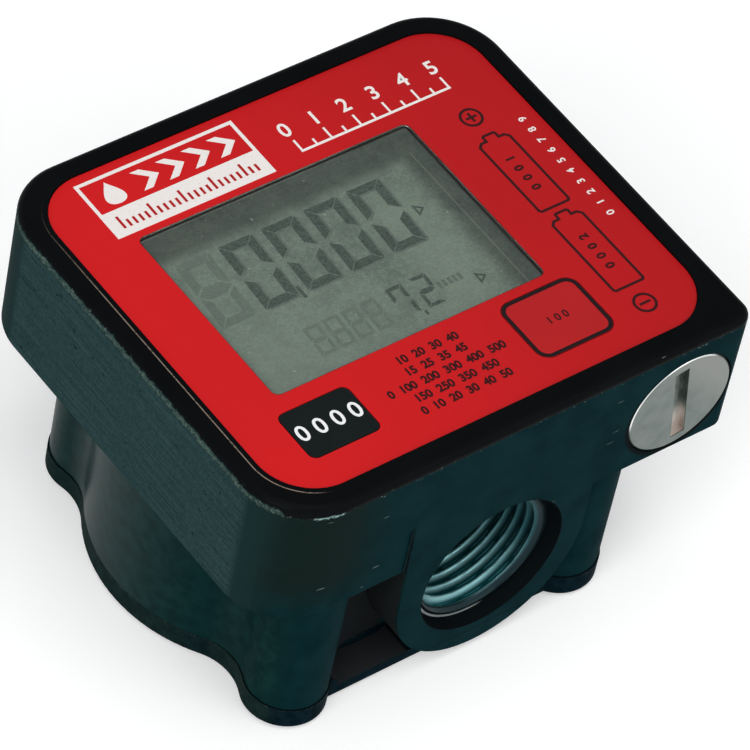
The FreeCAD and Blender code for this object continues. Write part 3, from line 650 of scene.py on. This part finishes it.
def rectangle(x0, x1, y0, y1, radius=0.0, steps=8):
    """Outline of a rectangle, with round corners if radius isn't 0."""
    if radius <= 0:
        return [(x0, y0), (x1, y0), (x1, y1), (x0, y1)]
    corners = [(x1 - radius, y0 + radius, -90), (x1 - radius, y1 - radius, 0),
               (x0 + radius, y1 - radius, 90), (x0 + radius, y0 + radius, 180)]
    return [(cx + radius * math.cos(math.radians(a)), cy + radius * math.sin(math.radians(a)))
            for cx, cy, start in corners for a in [start + 90 * k / steps for k in range(steps + 1)]]


def frame_of(x0, x1, y0, y1, radius, width):
    """Outer and inner outline of a line that lies inside the rectangle."""
    return [rectangle(x0, x1, y0, y1, radius),
            rectangle(x0 + width, x1 - width, y0 + width, y1 - width, max(radius - width, 0.0))]


def circle(x, y, radius, steps=40):
    """Outline of a circle round a point."""
    turns = [2 * math.pi * k / steps for k in range(steps)]
    return [(x + radius * math.cos(t), y + radius * math.sin(t)) for t in turns]


def offset(points, inwards):
    """Closed outline moved inwards, with mitred corners."""
    shifted = []
    for k, (x, y) in enumerate(points):
        before, after = Vector(points[k - 1]), Vector(points[(k + 1) % len(points)])
        here = Vector((x, y))
        a, b = (here - before).normalized(), (after - here).normalized()
        normal = Vector((-a.y - b.y, a.x + b.x))
        normal /= max(normal.length_squared / 2, 0.2)
        shifted.append(tuple(here + normal * inwards))
    return shifted


def drop_shape(x, y, half_width, half_height, steps=36):
    """Drop with its tip up."""
    turns = [2 * math.pi * k / steps for k in range(steps)]
    return [(x + half_width * 1.3 * math.sin(t) * math.sin(t / 2) ** 1.6, y + half_height * math.cos(t))
            for t in turns]


def chevron(x, y, width, height, thickness):
    """Arrow head that points to the right, from its lower left corner."""
    half = height / 2
    return [(x, y), (x + thickness, y), (x + width, y + half), (x + thickness, y + height),
            (x, y + height), (x + width - thickness, y + half)]


def sheet_print(name, outlines, material, z=label_top, thickness=ink):
    """Flat print on the front sheet."""
    return print_on(name, outlines, material, z, thickness)


def sheet_number(name, text, centre, height, material, turn_deg=0.0, bold=0.0):
    """Plain numbers on the front sheet."""
    return numeral(name, text, centre, height, material, label_top, turn_deg, bold=bold)


def title_print(white, red):
    """Frame with a generic sign: a drop, flow arrows and a ruler."""
    box = [rectangle(-28.7, -2.8, 18.4, 29.1), rectangle(-28.15, -3.35, 23.05, 28.55)]
    sheet_print("title_frame", box, white)
    sheet_print("title_drop", [drop_shape(-24.6, 25.8, 1.75, 2.1)], white)
    arrow_pitch = 4.2
    arrows = [chevron(-20.6 + arrow_pitch * k, 24.0, 3.6, 3.6, 1.5) for k in range(4)]
    sheet_print("title_arrows", arrows, white)
    ticks = [rectangle(-26.9 + k, -26.5 + k, 19.6, 21.9 if k % 5 == 0 else 20.9) for k in range(23)]
    sheet_print("title_ruler", ticks, red, z=label_top + ink)


def scale_print(white):
    """Plain scale with numbers in the upper right field, and a row of numbers up the right side."""
    first, last, step = 2.6, 27.6, 2.5
    base, line, short, long = 19.6, 20.0, 21.0, 22.0
    ticks = [rectangle(first - 0.2, last + 0.2, base, line)]
    for k in range(11):
        x = first + step * k
        ticks.append(rectangle(x - 0.17, x + 0.17, line, long if k % 2 == 0 else short))
    sheet_print("scale_ticks", ticks, white)
    for k in range(6):
        sheet_number("scale_number_%d" % k, str(k), (first + 2 * step * k, 24.0), 2.4, white, bold=0.06)
    digits = "   ".join(str(k) for k in range(10))
    sheet_number("side_numbers", digits, (33.0, 0.3), 1.15, white, 90, bold=0.03)


def lower_print(dark):
    """Rows of plain numbers below the display."""
    rows = (("10  20  30  40", -4.0), ("15  25  35  45", -4.1), ("0  100  200  300  400  500", -3.9),
            ("150  250  350  450", -3.9), ("0  10  20  30  40  50", -3.8))
    top, pitch = -17.2, 2.15
    for k, (text, middle) in enumerate(rows):
        sheet_number("number_row_%d" % k, text, (middle, top - pitch * k), 1.25, dark, bold=0.075)


def battery_sign(name, middle, back, length, number, dark):
    """Outline of a battery with its nub to the back, and plain numbers in it."""
    half, nub, shoulder = 2.75, 1.25, 0.7
    foot, tip, line = 0.4, 0.3, 0.42
    left, right = middle - half, middle + half
    top, front = back - 1.0, back - length
    outline = [(left + foot, front), (right - foot, front), (right, front + foot), (right, top - shoulder),
               (right - shoulder, top), (middle + nub, top), (middle + nub, back - tip),
               (middle + nub - tip, back), (middle - nub + tip, back), (middle - nub, back - tip),
               (middle - nub, top), (left + shoulder, top), (left, top - shoulder), (left, front + foot)]
    sheet_print(name, [outline, offset(outline, line)], dark)
    sheet_number(name + "_number", number, (middle, top - length / 2 + 0.5), 1.3, dark, 90, bold=0.08)


def label_print():
    """Frames, scales and battery signs on the front sheet."""
    white = ink_finish("ink_white", (238, 232, 228), (224, 206, 202))
    dark = ink_finish("ink_dark", (52, 10, 14), (74, 13, 17))
    red = ink_finish("ink_red", (178, 22, 26), (196, 40, 42))
    title_print(white, red)
    scale_print(white)
    lower_print(dark)
    battery_sign("battery_sign_back", 26.95, 10.3, 15.5, "0  0  0  1", dark)
    battery_sign("battery_sign_front", 26.95, -6.0, 15.6, "0  0  0  2", dark)
    for name, y in (("plus", 13.8), ("minus", -24.9)):
        sheet_print(name + "_ring", [circle(26.85, y, 1.75), circle(26.85, y, 1.33)], dark)
        sheet_print(name + "_bar", [rectangle(25.95, 27.75, y - 0.2, y + 0.2)], dark)
    sheet_print("plus_stem", [rectangle(26.65, 27.05, 12.9, 14.7)], dark, thickness=ink * 0.9)


def key_print():
    """White numbers on the black key, outline and dark numbers on the red one."""
    white = ink_finish("key_white", (240, 240, 240), (220, 222, 222))
    dark = ink_finish("key_dark", (26, 10, 14), (44, 12, 16))
    key_y = -21.25
    numeral("reset_numbers", "0 0 0 0", (-22.95, key_y), 2.55, white, label_top, 0,
            "reset_button", bold=0.05)
    print_on("cal_outline", frame_of(8.37, 21.03, -26.58, -15.92, 1.95, 0.6), dark, label_top, ink,
             "cal_button")
    numeral("cal_numbers", "1 0 0", (14.8, key_y), 1.2, dark, label_top, 0,
            "cal_button", bold=0.03)


def seven_segment(character, x, y, width, height, bar, lean=0.0, gap=0.1):
    """Outlines of the lit bars of one digit, mitred at the corners. x and y are its lower left corner."""
    lit = {"0": "abcdef", "2": "abged", "7": "abcf", "8": "abcdefg"}[character]
    half = height / 2
    waist = 0.3 * bar
    slant = 0.75 * bar
    left_bar = [(0, half + waist), (bar, half + waist + slant), (bar, height - bar - gap), (0, height - gap)]
    end_bar = [(gap, height), (width - gap, height), (width - bar - gap, height - bar),
               (bar + gap, height - bar)]
    middle_bar = [(gap, half), (bar + gap, half + slant), (width - bar - gap, half + slant),
                  (width - gap, half), (width - bar - gap, half - slant), (bar + gap, half - slant)]
    shapes = {
        "a": end_bar,
        "b": [(width - px, py) for px, py in left_bar],
        "c": [(width - px, height - py) for px, py in left_bar],
        "d": [(px, height - py) for px, py in end_bar],
        "e": [(px, height - py) for px, py in left_bar],
        "f": left_bar,
        "g": middle_bar,
    }
    return [[(x + px + lean * py, y + py) for px, py in shapes[name]] for name in lit]


def moved(outlines, dx, dy):
    """The outlines shifted in their plane."""
    return [[(x + dx, y + dy) for x, y in outline] for outline in outlines]


def film_print(name, outlines, material, thickness=ink):
    """Flat print on the display's front film."""
    return print_on(name, outlines, material, film_top, thickness)


def display():
    """Front film of the display, its digits with their soft shadows, and the faint unlit marks."""
    film = film_finish()
    digit = segment_finish("lcd_digit", (82, 94, 92), (120, 131, 126))
    ghost = segment_finish("lcd_ghost", (136, 149, 141), (152, 164, 156))
    shadow = segment_finish("lcd_shadow", (126, 138, 132), (146, 158, 151))
    print_on("lcd_film", [rectangle(-27.1, 18.8, -14.95, 18.4)], film, glass_top, film_depth)

    lean = 0.057
    size = (5.45, 12.2, 1.35)
    for k, x in enumerate((-18.1, -11.05, -4.0, 3.05)):
        shapes = seven_segment("0", x, -0.75, *size, lean)
        film_print("big_digit_%d" % k, shapes, digit)
        film_print("big_shadow_%d" % k, moved(shapes, 0.3, -0.3), shadow, ink / 2)
    film_print("big_ghost", seven_segment("8", -25.1, -0.75, *size, lean), ghost)
    film_print("decimal_mark", [rectangle(-12.35, -11.85, -1.5, 0.8)], digit)

    for k, x in enumerate((-16.3, -13.2, -10.1, -7.0)):
        film_print("small_ghost_%d" % k, seven_segment("8", x, -11.0, 2.5, 5.2, 0.5, lean, 0.06), ghost)
    for k, (text, x, width) in enumerate((("7", -2.5, 2.6), ("2", 1.4, 2.7))):
        film_print("small_digit_%d" % k, seven_segment(text, x, -11.0, width, 5.5, 0.58, lean, 0.06), digit)
    film_print("small_point", [rectangle(0.3, 0.7, -11.8, -11.0)], digit)
    marks = [rectangle(4.7 + 0.85 * k, 5.2 + 0.85 * k, -8.9, -7.7) for k in range(5)]
    film_print("small_marks", marks, shadow)
    for name, x, y in (("upper_unit", 10.2, 3.0), ("lower_unit", 10.2, -10.9)):
        outline = [(x, y), (x + 1.5, y + 1.1), (x, y + 2.2)]
        film_print(name, [outline, offset(outline, 0.32)], digit)


def thread_radius(phase, low, high):
    """Rounded sixty degree thread: low at the crest in a bore, high at its root."""
    wave = abs(2 * (phase % 1.0) - 1)
    flat = 0.12
    share = min(1.0, max(0.0, (wave - flat) / (1 - 2 * flat)))
    return low + (high - low) * share


def ring_point(centre, radius, y, k):
    """Point k of a circle round an axis along Y."""
    angle = 2 * math.pi * k / ring_steps
    return centre[0] + radius * math.cos(angle), y, centre[1] + radius * math.sin(angle)


def ring_faces(rows, turned):
    """Quads that join closed rows of ring points, and the last row to the first."""
    faces = []
    for row in range(rows):
        for k in range(ring_steps):
            a = row * ring_steps + k
            b = row * ring_steps + (k + 1) % ring_steps
            c = ((row + 1) % rows) * ring_steps + (k + 1) % ring_steps
            d = ((row + 1) % rows) * ring_steps + k
            faces.append((a, b, c, d) if turned else (d, c, b, a))
    return faces


def threaded_ring(name, centre, start_y, inward, length, pitch, crest, root, back, material,
                  body="meter"):
    """Closed ring with a helical thread from the crest to the root radius, and a plain wall at the back."""
    rows_per_turn = 14
    run_out = 0.5 * pitch
    rows = int(length / pitch * rows_per_turn)
    vertices = []
    for row in range(rows + 1):
        along = length * row / rows
        fade = min(1.0, along / run_out)
        for k in range(ring_steps):
            radius = root + (thread_radius(along / pitch - k / ring_steps, crest, root) - root) * fade
            vertices.append(ring_point(centre, radius, start_y + inward * along, k))
    for along in (length, 0.0):
        vertices += [ring_point(centre, back, start_y + inward * along, k) for k in range(ring_steps)]
    turned = (inward > 0) == (back > root)
    return piece(name, vertices, ring_faces(rows + 3, turned), material, body, smooth=50)


def lip_ring(name, face_y, outward, material):
    """Machined bevel just outside the thread on the floor of the counterbore."""
    inner, outer = thread_major + 0.4, thread_major + 0.72
    profile = [(inner, 0.0), (outer, 0.0), (outer, 0.04), (inner, 0.12)]
    vertices = [ring_point((port_x, port_z), radius, face_y + outward * rise, k)
                for radius, rise in profile for k in range(ring_steps)]
    return piece(name, vertices, ring_faces(len(profile), outward < 0), material)


def ports():
    """Cut thread of both ports, and the bevel with its painted highlight."""
    bright = thread_finish()
    lip = lip_finish()
    floor_y = half_depth - counterbore_depth
    for name, side in (("front", -1), ("back", 1)):
        threaded_ring(name + "_thread", (port_x, port_z), side * floor_y, -side, thread_length, thread_pitch,
                      thread_minor, thread_major - 0.05, thread_major, bright)
        lip_ring(name + "_lip", side * floor_y, side, lip)


def cap_thread(material):
    """Shallow thread on the skirt of the battery cap."""
    crest = cap_skirt_radius + cap_thread_height
    threaded_ring("cap_thread", (cap_x, cap_z), cap_skirt_front + 1.2, 1, cap_skirt_length - 1.4,
                  cap_thread_pitch, crest, cap_skirt_radius + 0.01, cap_skirt_radius - 0.1, material,
                  "cap")


def add_camera():
    """Camera of the photograph."""
    lens = bpy.data.cameras.new("camera")
    lens.lens = camera_lens
    lens.sensor_width = 36.0
    lens.clip_start = 0.01
    lens.clip_end = 20.0
    camera = bpy.data.objects.new("camera", lens)
    camera.location = Vector(camera_place) * MM
    camera.rotation_mode = "QUATERNION"
    aim = (Vector(camera_aim) - Vector(camera_place)).to_track_quat("-Z", "Y")
    camera.rotation_quaternion = aim @ Quaternion((0, 0, 1), math.radians(camera_roll_deg))
    bpy.context.scene.collection.objects.link(camera)
    bpy.context.scene.camera = camera


def add_floor():
    """Pale floor a hair below the cover, so that the two faces don't lie in one plane."""
    half = 3.0
    drop = -0.05 * MM
    corners = [(-half, -half, drop), (half, -half, drop), (half, half, drop), (-half, half, drop)]
    mesh = bpy.data.meshes.new("floor")
    mesh.from_pydata(corners, [], [(0, 1, 2, 3)])
    floor = bpy.data.objects.new("floor", mesh)
    bpy.context.scene.collection.objects.link(floor)
    mesh.materials.append(floor_finish())


def add_lamps():
    """Three soft lamps that face the part."""
    aim = Vector((0, 0, 0.02))
    for name, place, size, power in (("key", (-0.75, -0.35, 0.85), 0.6, 5.0),
                                     ("fill", (0.3, -0.9, 0.7), 0.8, 2.9),
                                     ("top", (0.0, -0.1, 1.2), 0.9, 5.0)):
        lamp = bpy.data.lights.new(name, "AREA")
        lamp.energy = power
        lamp.size = size
        lit = bpy.data.objects.new(name, lamp)
        lit.location = place
        lit.rotation_mode = "QUATERNION"
        lit.rotation_quaternion = (aim - Vector(place)).to_track_quat("-Z", "Y")
        bpy.context.scene.collection.objects.link(lit)


def sky():
    """White near the horizon and dim overhead, like a tent with a dark top."""
    world = bpy.data.worlds.new("studio")
    world.use_nodes = True
    nodes, links = world.node_tree.nodes, world.node_tree.links
    background = nodes["Background"]
    background.inputs["Color"].default_value = (0.95, 0.98, 1.0, 1.0)
    direction = nodes.new("ShaderNodeSeparateXYZ")
    links.new(nodes.new("ShaderNodeTexCoord").outputs["Generated"], direction.inputs[0])
    level = nodes.new("ShaderNodeMapRange")
    level.interpolation_type = "SMOOTHSTEP"
    links.new(direction.outputs["Z"], level.inputs["Value"])
    for socket, value in (("From Min", 0.25), ("From Max", 0.6), ("To Min", 1.0), ("To Max", 0.17)):
        level.inputs[socket].default_value = value
    links.new(level.outputs["Result"], background.inputs["Strength"])
    return world


def seen_directly(nodes, links):
    """1 for rays from the camera and for those that metal and glass send on."""
    path = nodes.new("ShaderNodeLightPath")
    total = path.outputs["Is Camera Ray"]
    for name in ("Is Glossy Ray", "Is Transmission Ray"):
        add = nodes.new("ShaderNodeMath")
        add.operation = "ADD"
        add.use_clamp = True
        links.new(total, add.inputs[0])
        links.new(path.outputs[name], add.inputs[1])
        total = add.outputs[0]
    return total


def floor_finish():
    """White floor that keeps the object's shadow."""
    material = bpy.data.materials.new("floor")
    material.use_nodes = True
    nodes, links = material.node_tree.nodes, material.node_tree.links
    shader = nodes["Principled BSDF"]
    shader.inputs["Base Color"].default_value = (0.78, 0.78, 0.78, 1.0)
    shader.inputs["Roughness"].default_value = 0.9
    shader.inputs["Emission Color"].default_value = (1.0, 1.0, 1.0, 1.0)
    level = nodes.new("ShaderNodeMath")
    level.operation = "MULTIPLY"
    links.new(seen_directly(nodes, links), level.inputs[0])
    level.inputs[1].default_value = 0.35
    links.new(level.outputs[0], shader.inputs["Emission Strength"])
    return material


dress()
label_print()
key_print()
display()
ports()
add_camera()
add_floor()
add_lamps()
bpy.context.scene.world = sky()
bpy.context.scene.view_settings.view_transform = "Standard"
